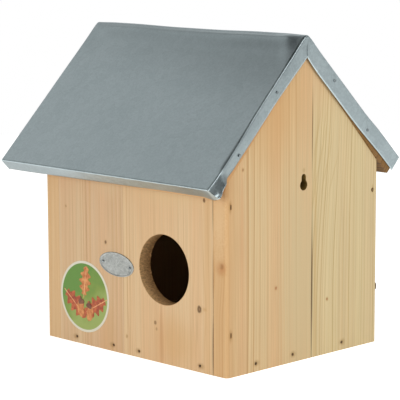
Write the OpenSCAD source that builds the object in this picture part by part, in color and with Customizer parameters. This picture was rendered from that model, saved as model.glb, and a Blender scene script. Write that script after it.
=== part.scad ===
// Squirrel house: a pine nest box with a folded zinc roof sheet, millimetres.
// +Z is up, -Y is the entrance side, +X is the gable with the keyhole.
// The origin is on the ground, under the middle of the walls.

/* [Walls] */
// Width over the two gables
body_w = 260; // [240:1:290]
// Depth of the gables, front to rear
body_d = 218; // [205:1:240]
// Height of the gables at their front and rear edges
wall_h = 189; // [170:1:215]
// Thickness of the gable boards
gable_t = 18; // [15:0.5:20]
// Distance of the gable's board seam behind the middle
gable_seam = 11; // [6:0.5:30]
// Thickness of the front boards
front_t = 15; // [12:0.5:18]
// Width of the left front board
front_left_w = 43; // [30:0.5:50]
// Width of the middle front board
front_middle_w = 54.5; // [50:0.5:60]
// Thickness of the floor board
floor_t = 15; // [13:0.5:18]

/* [Entrance] */
// Diameter of the entrance hole
hole_d = 70; // [50:1:72]
// Distance of the hole's centre to the right of the middle
hole_x = 44; // [40:1:52]
// Height of the hole's centre
hole_z = 94; // [80:1:105]

/* [Keyhole] */
// Diameter of the keyhole's lower circle
key_d = 10.5; // [8:0.5:12]
// Width of the keyhole's slot
key_slot_w = 6.4; // [4.5:0.1:7]
// Distance of the keyhole in front of the middle
key_y = 1.2; // [0:0.1:8]
// Height of the circle's centre
key_z = 175; // [150:1:190]
// Height of the slot's top above the circle's centre
key_slot_h = 11; // [9:0.5:20]

/* [Roof] */
// Pitch of the gables' cuts and of the roof boards, degrees
board_pitch = 46.3; // [45.3:0.1:48]
// Thickness of the roof boards
roof_t = 12; // [10:0.5:15]
// How far the roof stands out past the left gable
over_left = 40; // [20:1:50]
// How far the roof stands out past the keyhole gable
over_right = 3; // [2:0.5:12]

/* [Roof sheet] */
// Thickness of the zinc sheet
sheet_t = 0.7; // [0.5:0.1:1]
// Pitch of the sheet's front slope, degrees
pitch_front = 45; // [43.5:0.1:45.2]
// Pitch of the sheet's rear slope, degrees
pitch_rear = 43.7; // [43:0.1:45.2]
// Length of the sheet down each slope
sheet_len = 194.5; // [190:0.5:200]
// Depth of the folded edges
flange_h = 16; // [12:0.5:20]
// Outer radius of the ridge bend
ridge_r = 4; // [2:0.5:8]

/* [Clean-out door] */
// Thickness of the door
door_t = 12; // [10:0.5:15]
// Gap between the door and each gable
door_side_gap = 1; // [0.6:0.1:2]
// Gap between the door and the floor board's rear edge
door_floor_gap = 0.4; // [0.3:0.1:1]
// Height of the door's lower edge
door_bottom = 1.5; // [1:0.1:4]
// Depth of the door's top edge below the gables' rear corners
door_top_gap = 3; // [2.5:0.1:6]
// Depth of the pivot nails below the gables' rear corners
pivot_drop = 30; // [22:1:40]

/* [Latch] */
// Diameter of the latch's wire
latch_d = 2.4; // [2:0.1:3]
// Length of the latch's arm from the middle of its screw
latch_arm = 9; // [8.5:0.5:16]
// Length of the screw inside the gable
latch_screw = 20; // [12:1:30]
// Height of the screw
latch_z = 61; // [45:1:80]
// Distance of the screw from the gable's inner face
latch_in = 4; // [3:0.5:5]
// Gap between the arm and the gable's rear edge
latch_gap = 0.4; // [0.3:0.1:1]

/* [Nails] */
// Diameter of a nail's shank
nail_d = 1.8; // [1.4:0.1:2.2]
// Diameter of a round nail's head
nail_head_d = 3.2; // [2.8:0.1:4.4]
// Height of a wall brad's narrow head
brad_head_h = 5; // [3.6:0.1:6]
// Width of that head
brad_head_w = 1.5; // [1.2:0.1:2]
// Thickness of a nail's head
nail_head_t = 1; // [0.8:0.1:1.2]
// Length of a nail beyond the board it holds
nail_grip = 20; // [14:1:25]
// Diameter of a pivot nail's shank
pivot_d = 2.6; // [2.4:0.1:3]
// Length of a pivot nail beyond the gable
pivot_grip = 17; // [12:1:22]
// Diameter of a pivot nail's head
pivot_head_d = 4.2; // [3.6:0.1:5]
// Diameter of a sheet nail's head
tack_head_d = 3.6; // [3:0.1:4.4]

/* [Nail places] */
// Height of the nails into the floor's front edge
front_nail_z = 6.5; // [6:0.5:8]
// Height of the nails into the floor's side edges
side_nail_z = 8; // [7:0.5:9]
// Distance of the left front board's nail from that board's right edge
nail_in_left = 17.2; // [10:0.1:26]
// Distance of the middle front board's nail from that board's right edge
nail_in_middle = 15.8; // [10:0.1:30]
// Distance of the entrance board's first nail from that board's left edge
nail_in_entrance_left = 22; // [10:0.5:40]
// Distance of the entrance board's second nail from that board's right edge
nail_in_entrance_right = 18.5; // [10:0.5:30]
// Distance of a gable's first floor nail from its front edge
side_nail_in_front = 40.4; // [24:0.1:60]
// Distance of a gable's second floor nail in front of the board seam
side_nail_in_middle = 27.2; // [14:0.1:50]
// Distance of a gable's third floor nail from its rear edge
side_nail_in_rear = 52; // [24:0.5:70]
// Height of the lower wall brad
wall_nail_low = 41.2; // [30:0.1:60]
// Depth of the upper wall brad below the gable's front corner
wall_nail_drop = 24.2; // [14:0.1:36]
// Distance of the wall brads behind the front wall's face
wall_nail_back = 6; // [5:0.5:10]
// Distance down the front roof board of its upper rake nail
rake_front_up = 67; // [56:0.5:90]
// Distance down the front roof board of its lower rake nail
rake_front_low = 143.5; // [130:0.5:160]
// Distance down the rear roof board of its upper rake nail
rake_rear_up = 60.5; // [56:0.5:90]
// Distance down the rear roof board of its lower rake nail
rake_rear_low = 134; // [130:0.5:160]
// Depth in the front board of its rake nails
rake_front_in = 4.2; // [2.5:0.1:7]
// Depth in the rear board of its rake nails
rake_rear_in = 3.2; // [2:0.1:5]
// Distance down a roof board of the upper nails into the gables
roof_nail_up = 42; // [30:1:52]
// Distance down a roof board of the lower nails into the gables
roof_nail_low = 120; // [96:1:124]

/* [Plate and label] */
// Width of the oval plate
plate_w = 50.7; // [44:0.1:56]
// Height of the oval plate
plate_h = 24.2; // [20:0.1:28]
// Thickness of the plate
plate_t = 0.8; // [0.6:0.1:1.2]
// Distance of the plate's centre to the left of the middle
plate_x = 24.3; // [20:0.1:26]
// Height of the plate's centre
plate_z = 90.3; // [86:0.1:100]
// Slope of the plate, degrees clockwise
plate_tilt = 2.9; // [0:0.1:5]
// Distance between the plate's two pins
pin_span = 39.6; // [34:0.1:42]
// Diameter of a plate pin's shank
pin_d = 1.2; // [1:0.1:1.6]
// Diameter of a plate pin's head
pin_head_d = 2.8; // [2.2:0.1:3.4]
// Length of a plate pin in the wood
pin_grip = 9; // [7:0.5:11]
// Diameter of the round picture label
label_d = 74; // [60:1:76]
// Thickness of the label
label_t = 0.4; // [0.3:0.1:0.8]
// Distance of the label's centre from the left gable's outer face
label_in = 57; // [56:1:60]
// Height of the label's centre
label_z = 50.3; // [42:0.1:54]

/* [Clearances] */
// Radial clearance of a nail that is driven in
drive_fit = 0.02; // [0.01:0.01:0.1]
// Radial clearance of a nail or a screw that turns
turn_fit = 0.08; // [0.04:0.01:0.1]
// Radial clearance of a nail in the sheet
sheet_hole_fit = 0.3; // [0.1:0.1:0.5]
// Clearance of the roof boards' ends inside the sheet's folded edges
end_gap = 0.3; // [0.2:0.1:1]
// Clearance of the roof boards' lower edges inside the sheet's eave folds
eave_gap = 1.2; // [0.4:0.1:3]

/* [Hidden] */
$fn = 64;

// Length by which a cut runs past the face that it opens on
past = 1;
// Number of chords of the ridge bend and of the plate's oval
bend_steps = 12;
oval_steps = 72;

half_w = body_w / 2;
half_d = body_d / 2;
inner_w = body_w - 2 * gable_t;
front_in = -half_d + front_t;
apex_z = wall_h + half_d * tan(board_pitch);
board_apex_z = apex_z + roof_t / cos(board_pitch);

// Where the front boards meet, from left to right
seam_1 = -inner_w / 2 + front_left_w;
seam_2 = seam_1 + front_middle_w;

// The sheet's bend lies on the roof boards' ridge: its outer planes would meet a little above it
bend_half = (pitch_front + pitch_rear) / 2;
bend_lean = (pitch_rear - pitch_front) / 2;
sheet_ridge_z = board_apex_z + sheet_t + ridge_r * (1 / cos(bend_half) - 1);
sheet_x0 = -half_w - over_left;
sheet_x1 = half_w + over_right;
roof_len = sheet_len - sheet_t - eave_gap - (sheet_ridge_z - board_apex_z) * sin(pitch_front);

// Door
door_y0 = half_d - door_t;
door_y = half_d - door_t / 2;
door_half_w = inner_w / 2 - door_side_gap;
pivot_z = wall_h - pivot_drop;

// Latch
latch_x = half_w - gable_t + latch_in;
latch_arm_y = half_d + latch_gap + latch_d / 2;

// Places of the nails along the walls and up them
front_nail_x = [seam_1 - nail_in_left, seam_2 - nail_in_middle, seam_2 + nail_in_entrance_left,
    inner_w / 2 - nail_in_entrance_right];
side_nail_y = [-half_d + side_nail_in_front, gable_seam - side_nail_in_middle,
    half_d - side_nail_in_rear];
wall_nail_z = [wall_nail_low, wall_h - wall_nail_drop];
wall_nail_y = -half_d + wall_nail_back;
roof_nail_at = [roof_nail_up, roof_nail_low];

// A point on the sheet's outer face: side -1 is the front slope, +1 the rear, s down it, h into it
function slope_pitch(side) = side < 0 ? pitch_front : pitch_rear;
function on_slope(side, s, h) = let (p = slope_pitch(side))
    [side * (s * cos(p) - h * sin(p)), sheet_ridge_z - s * sin(p) - h * cos(p)];

// A point in a roof board: s down it from its upper edge, h into it
function in_board(side, s, h) = [side * (s * cos(board_pitch) - h * sin(board_pitch)),
    board_apex_z - s * sin(board_pitch) - h * cos(board_pitch)];
function rake_places(side) = side < 0
    ? [for (s = [rake_front_up, rake_front_low]) in_board(side, s, rake_front_in)]
    : [for (s = [rake_rear_up, rake_rear_low]) in_board(side, s, rake_rear_in)];

// The ridge bend: an arc of radius r about the bend's centre, from the rear slope to the front
bend_c = let (k = ridge_r / cos(bend_half))
    [-k * sin(bend_lean), sheet_ridge_z - k * cos(bend_lean)];
function bend(r) = [for (i = [0 : bend_steps])
    let (a = 90 - pitch_rear + i * 2 * bend_half / bend_steps)
    [bend_c[0] + r * cos(a), bend_c[1] + r * sin(a)]];

// Turns an outline in Y and Z into a solid from x0 to x1
module along_x(x0, x1) {
    translate([x0, 0, 0]) rotate([90, 0, 90]) linear_extrude(x1 - x0) children();
}

// Half of a gable's outline: side -1 is in front of the seam, +1 behind it
module gable_outline(side) {
    top = apex_z - gable_seam * tan(board_pitch);
    polygon(side < 0
        ? [[-half_d, 0], [gable_seam, 0], [gable_seam, top], [0, apex_z], [-half_d, wall_h]]
        : [[gable_seam, 0], [half_d, 0], [half_d, wall_h], [gable_seam, top]]);
}

// A round rod along X from x0 to x1, along Y from y0 to y1, or square to a roof board
module rod_x(x0, x1, y, z, d) {
    translate([x0, y, z]) rotate([0, 90, 0]) cylinder(h = x1 - x0, d = d);
}
module rod_y(y0, y1, x, z, d) {
    translate([x, y0, z]) rotate([-90, 0, 0]) cylinder(h = y1 - y0, d = d);
}
module rod_roof(side, s, x, h0, h1, d) {
    p = in_board(side, s, 0);
    translate([x, p[0], p[1]])
        rotate([-side * board_pitch, 0, 0]) translate([0, 0, -h1]) cylinder(h = h1 - h0, d = d);
}

// Nails through a gable into the front boards, the floor or the door: side +1 is the right gable
module side_nail(side, y, z, d, head_d, grip) {
    reach = gable_t + grip;
    x0 = side > 0 ? half_w - reach : -half_w;
    rod_x(x0, x0 + reach, y, z, d);
    rod_x(side > 0 ? half_w - nail_head_t : -half_w, side > 0 ? half_w : -half_w + nail_head_t,
        y, z, head_d);
}
module wall_brad(side, z, grow) {
    reach = gable_t + nail_grip;
    head = [nail_head_t, brad_head_w + grow, brad_head_h + grow];
    rod_x(side > 0 ? half_w - reach : -half_w, side > 0 ? half_w : reach - half_w, wall_nail_y, z,
        nail_d + grow);
    translate([side > 0 ? half_w - nail_head_t : -half_w, wall_nail_y - head[1] / 2, z - head[2] / 2])
        cube(head);
}
module front_nail(x, d, head_d) {
    rod_y(-half_d, -half_d + front_t + nail_grip, x, front_nail_z, d);
    rod_y(-half_d, -half_d + nail_head_t, x, front_nail_z, head_d);
}
module roof_nail(side, x, s, grow) {
    rod_roof(side, s, x, 0, roof_t + nail_grip, nail_d + grow);
    rod_roof(side, s, x, 0, nail_head_t, nail_head_d + grow);
}
module roof_nails_all(grow) {
    for (side = [-1, 1], end = [-1, 1], s = roof_nail_at)
        roof_nail(side, end * (half_w - gable_t / 2), s, grow);
}

// Holes that the nails of one gable fill
module gable_holes(side) {
    grow = 2 * drive_fit;
    for (y = side_nail_y) side_nail(side, y, side_nail_z, nail_d + grow, nail_head_d + grow, nail_grip);
    for (z = wall_nail_z) wall_brad(side, z, grow);
    side_nail(side, door_y, pivot_z, pivot_d + grow, pivot_head_d + grow, pivot_grip);
    roof_nails_all(grow);
}
module gable_board(side, half) {
    color("burlywood") difference() {
        along_x(side > 0 ? half_w - gable_t : -half_w, side > 0 ? half_w : -half_w + gable_t)
            gable_outline(half);
        gable_holes(side);
        if (side > 0 && half < 0) keyhole();
        if (side > 0 && half > 0)
            rod_y(half_d - latch_screw, half_d + past, latch_x, latch_z, latch_d + 2 * turn_fit);
    }
}
module keyhole() {
    x0 = half_w - gable_t - past;
    x1 = half_w + past;
    rod_x(x0, x1, -key_y, key_z, key_d);
    rod_x(x0, x1, -key_y, key_z + key_slot_h - key_slot_w / 2, key_slot_w);
    translate([x0, -key_y - key_slot_w / 2, key_z])
        cube([x1 - x0, key_slot_w, key_slot_h - key_slot_w / 2]);
}

// The front wall: three boards side by side between the gables
module front_board(x0, x1) {
    grow = 2 * drive_fit;
    color("burlywood") difference() {
        translate([x0, -half_d, 0]) cube([x1 - x0, front_t, wall_h]);
        for (x = front_nail_x) front_nail(x, nail_d + grow, nail_head_d + grow);
        for (side = [-1, 1], z = wall_nail_z) wall_brad(side, z, grow);
        rod_y(-half_d - past, front_in + past, hole_x, hole_z, hole_d);
        plate_pin_rods(2 * drive_fit);
    }
}
module gable_right_front_board() { gable_board(1, -1); }
module gable_right_rear_board() { gable_board(1, 1); }
module gable_left_front_board() { gable_board(-1, -1); }
module gable_left_rear_board() { gable_board(-1, 1); }
module front_board_left() { front_board(-inner_w / 2, seam_1); }
module front_board_middle() { front_board(seam_1, seam_2); }
module front_board_entrance() { front_board(seam_2, inner_w / 2); }

// The floor lies between the walls, with its underside flush with theirs
module floor_board() {
    grow = 2 * drive_fit;
    color("tan") difference() {
        translate([-inner_w / 2, front_in, 0])
            cube([inner_w, door_y0 - door_floor_gap - front_in, floor_t]);
        for (x = front_nail_x) front_nail(x, nail_d + grow, nail_head_d + grow);
        for (side = [-1, 1], y = side_nail_y)
            side_nail(side, y, side_nail_z, nail_d + grow, nail_head_d + grow, nail_grip);
    }
}

// The rear wall is a door that hangs on two nails near its top and swings out at the bottom
module clean_out_door() {
    color("burlywood") difference() {
        translate([-door_half_w, door_y0, door_bottom])
            cube([2 * door_half_w, door_t, wall_h - door_top_gap - door_bottom]);
        for (side = [-1, 1])
            side_nail(side, door_y, pivot_z, pivot_d + 2 * turn_fit, pivot_head_d, pivot_grip + past);
    }
}

// A roof board: cut plumb at the ridge, square at the eave
module roof_board(side) {
    color("tan") difference() {
        along_x(sheet_x0 + sheet_t + end_gap, sheet_x1 - sheet_t - end_gap)
            polygon([[0, apex_z], [0, board_apex_z], in_board(side, roof_len, 0),
                in_board(side, roof_len, roof_t)]);
        roof_nails_all(2 * drive_fit);
        rake_nails(-1, side, 2 * drive_fit);
        rake_nails(1, side, 2 * drive_fit);
    }
}
module roof_board_front() { roof_board(-1); }
module roof_board_rear() { roof_board(1); }

// The sheet: one piece folded over the ridge, with an edge folded down all round
module sheet_profile() {
    far = sheet_len;
    polygon(concat(
        [on_slope(1, far, flange_h), on_slope(1, far, 0)], bend(ridge_r),
        [on_slope(-1, far, 0), on_slope(-1, far, flange_h), on_slope(-1, far - sheet_t, flange_h),
            on_slope(-1, far - sheet_t, sheet_t)],
        [for (i = [bend_steps : -1 : 0]) bend(ridge_r - sheet_t)[i]],
        [on_slope(1, far - sheet_t, sheet_t), on_slope(1, far - sheet_t, flange_h)]));
}
module rake_outline() {
    lower_z = sheet_ridge_z - flange_h / cos(bend_half);
    polygon(concat([on_slope(1, sheet_len, flange_h), on_slope(1, sheet_len, 0)], bend(ridge_r),
        [on_slope(-1, sheet_len, 0), on_slope(-1, sheet_len, flange_h), [0, lower_z]]));
}
module roof_sheet() {
    color("lightslategray") difference() {
        union() {
            along_x(sheet_x0, sheet_x1) sheet_profile();
            along_x(sheet_x0, sheet_x0 + sheet_t) rake_outline();
            along_x(sheet_x1 - sheet_t, sheet_x1) rake_outline();
        }
        for (end = [-1, 1], side = [-1, 1]) rake_shanks(end, side, 2 * sheet_hole_fit);
    }
}

// Nails through the folded rake edges into the ends of the roof boards
module rake_shanks(end, side, grow) {
    for (p = rake_places(side))
        if (end > 0) rod_x(sheet_x1 - nail_grip, sheet_x1 + past / 2, p[0], p[1], nail_d + grow);
        else rod_x(sheet_x0 - past / 2, sheet_x0 + nail_grip, p[0], p[1], nail_d + grow);
}
module rake_nails(end, side, grow) {
    rake_shanks(end, side, grow);
    for (p = rake_places(side))
        rod_x(end > 0 ? sheet_x1 : sheet_x0 - nail_head_t, end > 0 ? sheet_x1 + nail_head_t : sheet_x0,
            p[0], p[1], tack_head_d);
}
module rake_nails_right() {
    color("silver") for (side = [-1, 1]) rake_nails(1, side, 0);
}
module rake_nails_left() {
    color("silver") for (side = [-1, 1]) rake_nails(-1, side, 0);
}
module roof_nails() {
    color("silver") roof_nails_all(0);
}

// Wall and floor nails
module floor_nails_front() {
    color("dimgray") for (x = front_nail_x) front_nail(x, nail_d, nail_head_d);
}
module floor_nails(side) {
    color("dimgray") for (y = side_nail_y)
        side_nail(side, y, side_nail_z, nail_d, nail_head_d, nail_grip);
}
module wall_nails(side) {
    color("dimgray") for (z = wall_nail_z) wall_brad(side, z, 0);
}
module floor_nails_right() { floor_nails(1); }
module floor_nails_left() { floor_nails(-1); }
module wall_nails_right() { wall_nails(1); }
module wall_nails_left() { wall_nails(-1); }

// The door's two pivots
module door_pivot_nail(side) {
    color("dimgray") side_nail(side, door_y, pivot_z, pivot_d, pivot_head_d, pivot_grip);
}
module door_pivot_nail_right() { door_pivot_nail(1); }
module door_pivot_nail_left() { door_pivot_nail(-1); }

// A square-bent screw in the gable's rear edge: its arm hangs, and turned level it holds the door
module latch_hook() {
    color("silver") union() {
        rod_y(half_d - latch_screw, latch_arm_y, latch_x, latch_z, latch_d);
        translate([latch_x, latch_arm_y, latch_z]) sphere(d = latch_d);
        translate([latch_x, latch_arm_y, latch_z - latch_arm + latch_d / 2])
            cylinder(h = latch_arm - latch_d / 2, d = latch_d);
        translate([latch_x, latch_arm_y, latch_z - latch_arm + latch_d / 2]) sphere(d = latch_d);
    }
}

// The plate and its pins, in the plate's own place on the front wall
module on_plate() {
    translate([-plate_x, -half_d, plate_z]) rotate([0, plate_tilt, 0]) children();
}
module plate_pin_rods(grow) {
    on_plate() for (side = [-1, 1]) translate([side * pin_span / 2, 0, 0])
        rod_y(-plate_t, pin_grip, 0, 0, pin_d + grow);
}
module name_plate() {
    color("darkgray") difference() {
        on_plate() rotate([90, 0, 0]) linear_extrude(plate_t)
            polygon([for (i = [1 : oval_steps]) let (a = i * 360 / oval_steps)
                [plate_w / 2 * cos(a), plate_h / 2 * sin(a)]]);
        plate_pin_rods(2 * drive_fit);
    }
}
module plate_pins() {
    color("silver") {
        plate_pin_rods(0);
        on_plate() for (side = [-1, 1]) translate([side * pin_span / 2, 0, 0])
            rod_y(-plate_t - nail_head_t / 2, -plate_t, 0, 0, pin_head_d);
    }
}
module picture_label() {
    color("olivedrab") rod_y(-half_d - label_t, -half_d, -half_w + label_in, label_z, label_d);
}

gable_right_front_board();
gable_right_rear_board();
gable_left_front_board();
gable_left_rear_board();
front_board_left();
front_board_middle();
front_board_entrance();
floor_board();
clean_out_door();
roof_board_front();
roof_board_rear();
roof_sheet();
rake_nails_right();
rake_nails_left();
roof_nails();
floor_nails_front();
floor_nails_right();
floor_nails_left();
wall_nails_right();
wall_nails_left();
door_pivot_nail_right();
door_pivot_nail_left();
latch_hook();
name_plate();
plate_pins();
picture_label();
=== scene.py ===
# Squirrel house dressed for the camera: pine boards, a folded zinc roof, nails, an oval plate and a
# round label. Metres, Z up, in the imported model's own frame. The entrance faces -Y.
from functools import partial
from math import asin, copysign, cos, pi, radians, sin, tan

import bmesh
import bpy
from mathutils import Euler, Matrix, Vector, noise


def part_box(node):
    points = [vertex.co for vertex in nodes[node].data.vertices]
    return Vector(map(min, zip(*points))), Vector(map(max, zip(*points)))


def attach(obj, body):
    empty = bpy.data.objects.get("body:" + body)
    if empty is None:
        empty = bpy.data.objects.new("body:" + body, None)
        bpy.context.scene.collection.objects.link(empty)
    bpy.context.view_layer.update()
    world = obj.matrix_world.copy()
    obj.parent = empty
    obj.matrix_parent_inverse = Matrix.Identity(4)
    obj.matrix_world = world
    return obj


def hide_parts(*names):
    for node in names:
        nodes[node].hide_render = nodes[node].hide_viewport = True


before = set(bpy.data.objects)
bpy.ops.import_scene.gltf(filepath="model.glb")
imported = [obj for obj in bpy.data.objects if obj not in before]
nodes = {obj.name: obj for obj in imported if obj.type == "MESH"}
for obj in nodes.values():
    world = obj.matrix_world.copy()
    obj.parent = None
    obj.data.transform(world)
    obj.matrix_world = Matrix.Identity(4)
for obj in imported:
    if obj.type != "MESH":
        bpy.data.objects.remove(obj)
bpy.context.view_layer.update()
mm = 0.001
# the house's sizes in mm: outer and inner faces, its boards' thicknesses, the roof boards' slope and peak
walls = {"halfWidth": 130, "front": -109, "inner": (112.1, 94.1), "gable": 18, "boardFront": 15,
         "roof": 12, "pitch": 46.3, "boardPeak": 320.43}
print("frame loaded:", len(nodes), "nodes")


# Small helpers
def linear(hexColour):
    parts = [int(hexColour[i:i + 2], 16) / 255 for i in (1, 3, 5)]
    return [p / 12.92 if p <= 0.04045 else ((p + 0.055) / 1.055) ** 2.4 for p in parts] + [1]


modes = {"Math": "operation", "VectorMath": "operation", "MixRGB": "blend_type",
         "MapRange": "interpolation_type", "Mapping": "vector_type"}


def addNode(tree, kind, *values, stops=(), **settings):
    # adds one node, such as "Math ADD". Values fill its sockets in order and a dictionary fills them by
    # name: each is a number, a vector, a hex colour or another node's socket. It gives back the node's
    # output, or all of them if there are several
    kind, _, mode = kind.partition(" ")
    node = tree.nodes.new("ShaderNode" + kind)
    if mode:
        setattr(node, modes[kind], mode)
    for setting, value in settings.items():
        setattr(node, setting, value)
    inputs = {}
    for place, value in enumerate(values):
        inputs.update(value if isinstance(value, dict) else {place: value})
    for socket, value in inputs.items():
        if isinstance(value, bpy.types.NodeSocket):
            tree.links.new(value, node.inputs[socket])
        else:
            node.inputs[socket].default_value = linear(value) if isinstance(value, str) else value
    if stops:
        elements = node.color_ramp.elements
        while len(elements) < len(stops):
            elements.new(0.5)
        for element, (place, colour) in zip(elements, stops):
            element.position = place
            element.color = linear(colour) if isinstance(colour, str) else [colour] * 3 + [1]
    shown = [output for output in node.outputs if output.enabled]
    return shown[0] if len(shown) == 1 else node.outputs


def newMaterial(name):
    material = bpy.data.materials.new(name)
    material.use_nodes = True
    material.node_tree.nodes.clear()
    return material, partial(addNode, material.node_tree)


def millimetres(add):
    return add("Mapping", add("TexCoord")["Object"], {"Scale": (1000,) * 3})


def surface(add, colour, roughness, bump=None, metal=0, specular=0.5):
    # closes a material, with a bump of (strength, depth in mm, height) where there is one
    skin = {"Base Color": colour, "Roughness": roughness, "Metallic": metal, "Specular IOR Level": specular}
    if bump:
        strength, depth, height = bump
        skin["Normal"] = add("Bump", {"Strength": strength, "Distance": depth * mm, "Height": height})
    add("OutputMaterial", add("BsdfPrincipled", skin))


def distance(add, points, centre, size=(1, 1, 1), turn=(0, 0, 0)):
    # how far points are from a centre, 1 at the edge of an ellipsoid, and the points seen from it
    at = add("Mapping TEXTURE", points, {"Location": centre, "Rotation": turn, "Scale": size})
    return add("VectorMath LENGTH", at), at


def around(count):
    # cosine and sine of equal steps round a circle
    return [(cos(2 * pi * i / count), sin(2 * pi * i / count)) for i in range(count)]


def addObject(name, data):
    piece = bpy.data.objects.new(name, data)
    bpy.context.scene.collection.objects.link(piece)
    return piece


def bridge(mesh, rings, closed=True, capped=False):
    # joins rows of vertices with quads, each row running round or from end to end
    for a, b in zip(rings, rings[1:]):
        for i in range(len(a) if closed else len(a) - 1):
            j = (i + 1) % len(a)
            mesh.faces.new((a[i], a[j], b[j], b[i]))
    if capped:
        mesh.faces.new(rings[0])
        mesh.faces.new(rings[-1])


def meshObject(name, mesh, material, body="house", replaces=(), smooth=35):
    # turns a bmesh into a piece that rides on a body and stands for CAD nodes
    bmesh.ops.recalc_face_normals(mesh, faces=mesh.faces)
    data = bpy.data.meshes.new(name)
    mesh.to_mesh(data)
    mesh.free()
    data.shade_smooth()
    data.set_sharp_from_angle(angle=radians(smooth))
    piece = addObject(name, data)
    data.materials.append(material)
    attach(piece, body)
    if replaces:
        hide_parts(*replaces)
    return piece


def modifier(piece, kind, **settings):
    added = piece.modifiers.new(kind.lower(), kind)
    for setting, value in settings.items():
        setattr(added, setting, value)
    return added


def ease(low, high, value):
    # rises smoothly from 0 at low to 1 at high
    t = min(max((value - low) / (high - low), 0), 1)
    return t * t * (3 - 2 * t)


# Camera, as the photograph was taken
camera = {
    "position": (1.349418, -1.352563, 0.448640),
    "azimuth": 45.259,
    "elevation": 9.005,
    "roll": -0.198,
    "focalLength": 169.35,
}


def makeCamera(look):
    data = bpy.data.cameras.new("camera")
    data.lens = look["focalLength"]
    data.sensor_width = 36
    data.sensor_fit = "HORIZONTAL"
    data.clip_start = 0.05
    piece = addObject("camera", data)
    turn = Matrix.Rotation(radians(look["azimuth"]), 4, "Z")
    tilt = Matrix.Rotation(radians(90 - look["elevation"]), 4, "X")
    roll = Matrix.Rotation(radians(look["roll"]), 4, "Z")
    piece.matrix_world = Matrix.Translation(look["position"]) @ turn @ tilt @ roll
    bpy.context.scene.camera = piece


makeCamera(camera)


# Studio: a white sweep behind the object, a darker room and ceiling in front of it
studio = {
    "level": 0.52,  # even light on matt surfaces from all round
    "sweep": (-0.437, 0.895, -0.09),  # direction from the object to the middle of the white sweep
    "room": [(0, 0.12), (0.3, 0.14), (0.4, 0.3), (0.552, 0.94), (0.665, 0.47), (0.8, 0.6),
             (0.957, 1)],  # brightness from right behind the camera round to the sweep
    "ceiling": (0.7, 0.86, 1, 0.2),  # heights on the unit sphere where it darkens, and how far
    "aim": (0, 0, 0.15),  # where the lamps point
    "lamps": {  # azimuth, elevation, distance m, width m, height m, power W
        "lamp_front": (8, 6, 2.2, 1.6, 1.3, 22),
        "lamp_side": (88, 30, 2.2, 1, 0.9, 15.5),
    },
    # a black and a white card, seen only in the metal's folds: direction, half angles out and in, brightness
    "cards": [((0.91, 0.24, 0.3), 33, 22, 0.09), ((0.66, -0.2, 0.73), 16, 11, 3.4)],
    "floorSize": 3,
    "floorColour": "#f1f0ee",
    "floorGlow": 0.72,
}


def makeStudio(look):
    world = bpy.data.worlds.new("studio")
    bpy.context.scene.world = world
    world.use_nodes = True
    world.cycles.sampling_method = "NONE"
    tree = world.node_tree
    tree.nodes.clear()
    add = partial(addNode, tree)
    toward = add("TexCoord")["Generated"]
    facing = add("VectorMath DOT_PRODUCT", toward, look["sweep"])
    facing = add("MapRange", facing, -1, 1)
    sweep = add("ValToRGB", facing, stops=look["room"])[0]
    height = add("SeparateXYZ", toward)[2]
    ceiling = add("MapRange SMOOTHSTEP", height, *look["ceiling"])
    mirrored = add("MixRGB MULTIPLY", 1, sweep, ceiling)
    for direction, edge, core, level in look["cards"]:
        near = add("VectorMath DOT_PRODUCT", toward, Vector(direction).normalized())
        near = add("MapRange", near, cos(radians(edge)), cos(radians(core)))
        mirrored = add("MixRGB", near, mirrored, [level] * 3 + [1])
    path = add("LightPath")
    shiny = add("Math MAXIMUM", path["Is Glossy Ray"], path["Is Transmission Ray"])
    seen = add("MixRGB", shiny, [look["level"]] * 3 + [1], mirrored)
    seen = add("MixRGB", path["Is Camera Ray"], seen, "#ffffff")
    back = add("Background", seen, 1)
    addNode(tree, "OutputWorld", back)

    for name, (azimuth, elevation, away, width, height, power) in look["lamps"].items():
        data = bpy.data.lights.new(name, "AREA")
        data.shape = "RECTANGLE"
        data.size, data.size_y, data.energy = width, height, power
        lamp = addObject(name, data)
        lamp.visible_glossy = False  # metal mirrors the painted room instead
        turn = Euler((radians(90 - elevation), 0, radians(azimuth))).to_matrix().to_4x4()
        lamp.matrix_world = Matrix.Translation(look["aim"]) @ turn @ Matrix.Translation((0, 0, away))

    material, add = newMaterial("white paper floor")  # matt paper, burnt out to the background's white
    path = add("LightPath")
    shiny = add("Math MAXIMUM", path["Is Camera Ray"], path["Is Glossy Ray"])
    paper = add("BsdfDiffuse", look["floorColour"])
    glow = add("Emission", "#ffffff", look["floorGlow"])
    burnt = add("AddShader", paper, glow)
    shown = add("MixShader", shiny, paper, burnt)
    add("OutputMaterial", shown)
    material.cycles.emission_sampling = "NONE"
    mesh = bmesh.new()
    half = look["floorSize"] / 2
    mesh.faces.new([mesh.verts.new((x * half, y * half, 0)) for x, y in
                    ((-1, -1), (1, -1), (1, 1), (-1, 1))])
    data = bpy.data.meshes.new("floor")
    mesh.to_mesh(data)
    mesh.free()
    data.materials.append(material)
    addObject("floor", data)


makeStudio(studio)
bpy.context.scene.view_settings.view_transform = "Standard"
print("camera and studio made")


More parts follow.
